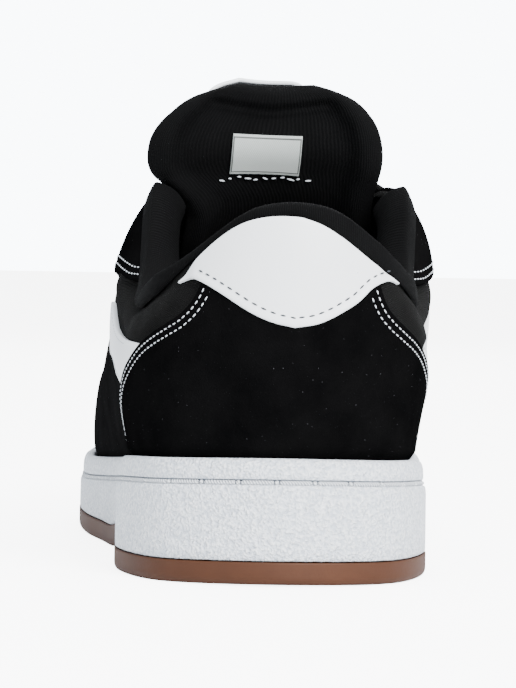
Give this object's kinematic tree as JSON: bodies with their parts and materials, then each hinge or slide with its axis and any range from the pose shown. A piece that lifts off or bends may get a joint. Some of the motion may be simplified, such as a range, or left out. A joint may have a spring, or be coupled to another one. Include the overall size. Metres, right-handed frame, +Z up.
{
  "type": "skateboarding shoe",
  "caption": "Low padded skateboarding shoe for the left foot: hollow upper, cup sole with rubber tread, padded collar and tongue, flat crossed lace.",
  "frame": {"origin": "middle of the heel's flat rest spot, on the ground under the sole", "axes": "+Y along the shoe towards the toe, +Z up, -X towards the outer side of the left foot"},
  "size_m": [0.1036, 0.288, 0.1308],
  "materials": {
    "gum_rubber": "matte",
    "white_rubber": "grained",
    "upper_textile": "matte",
    "black_suede": "napped",
    "white_leather": "smooth",
    "ribbed_lining": "ribbed knit",
    "footbed_fabric": "matte",
    "lace_cord": "woven",
    "eyelet_enamel": "satin"
  },
  "bodies": {
    "root": {"outsole": "gum_rubber", "cupsole": "white_rubber", "upper": "upper_textile", "insole": "footbed_fabric", "collar_pad": "ribbed_lining", "tongue": "ribbed_lining", "tongue_patch": "white_leather", "heel_counter": "black_suede", "heel_tab": "white_leather", "outer_side_panel": "white_leather", "inner_side_panel": "white_leather", "outer_eyestay": "black_suede", "inner_eyestay": "black_suede", "toe_cap": "black_suede", "laces": "lace_cord", "outer_eyelet_1": "eyelet_enamel", "outer_eyelet_2": "eyelet_enamel", "outer_eyelet_3": "eyelet_enamel", "outer_eyelet_4": "eyelet_enamel", "outer_eyelet_5": "eyelet_enamel", "outer_eyelet_6": "eyelet_enamel", "inner_eyelet_1": "eyelet_enamel", "inner_eyelet_2": "eyelet_enamel", "inner_eyelet_3": "eyelet_enamel", "inner_eyelet_4": "eyelet_enamel", "inner_eyelet_5": "eyelet_enamel", "inner_eyelet_6": "eyelet_enamel"}
  },
  "joints": []
}
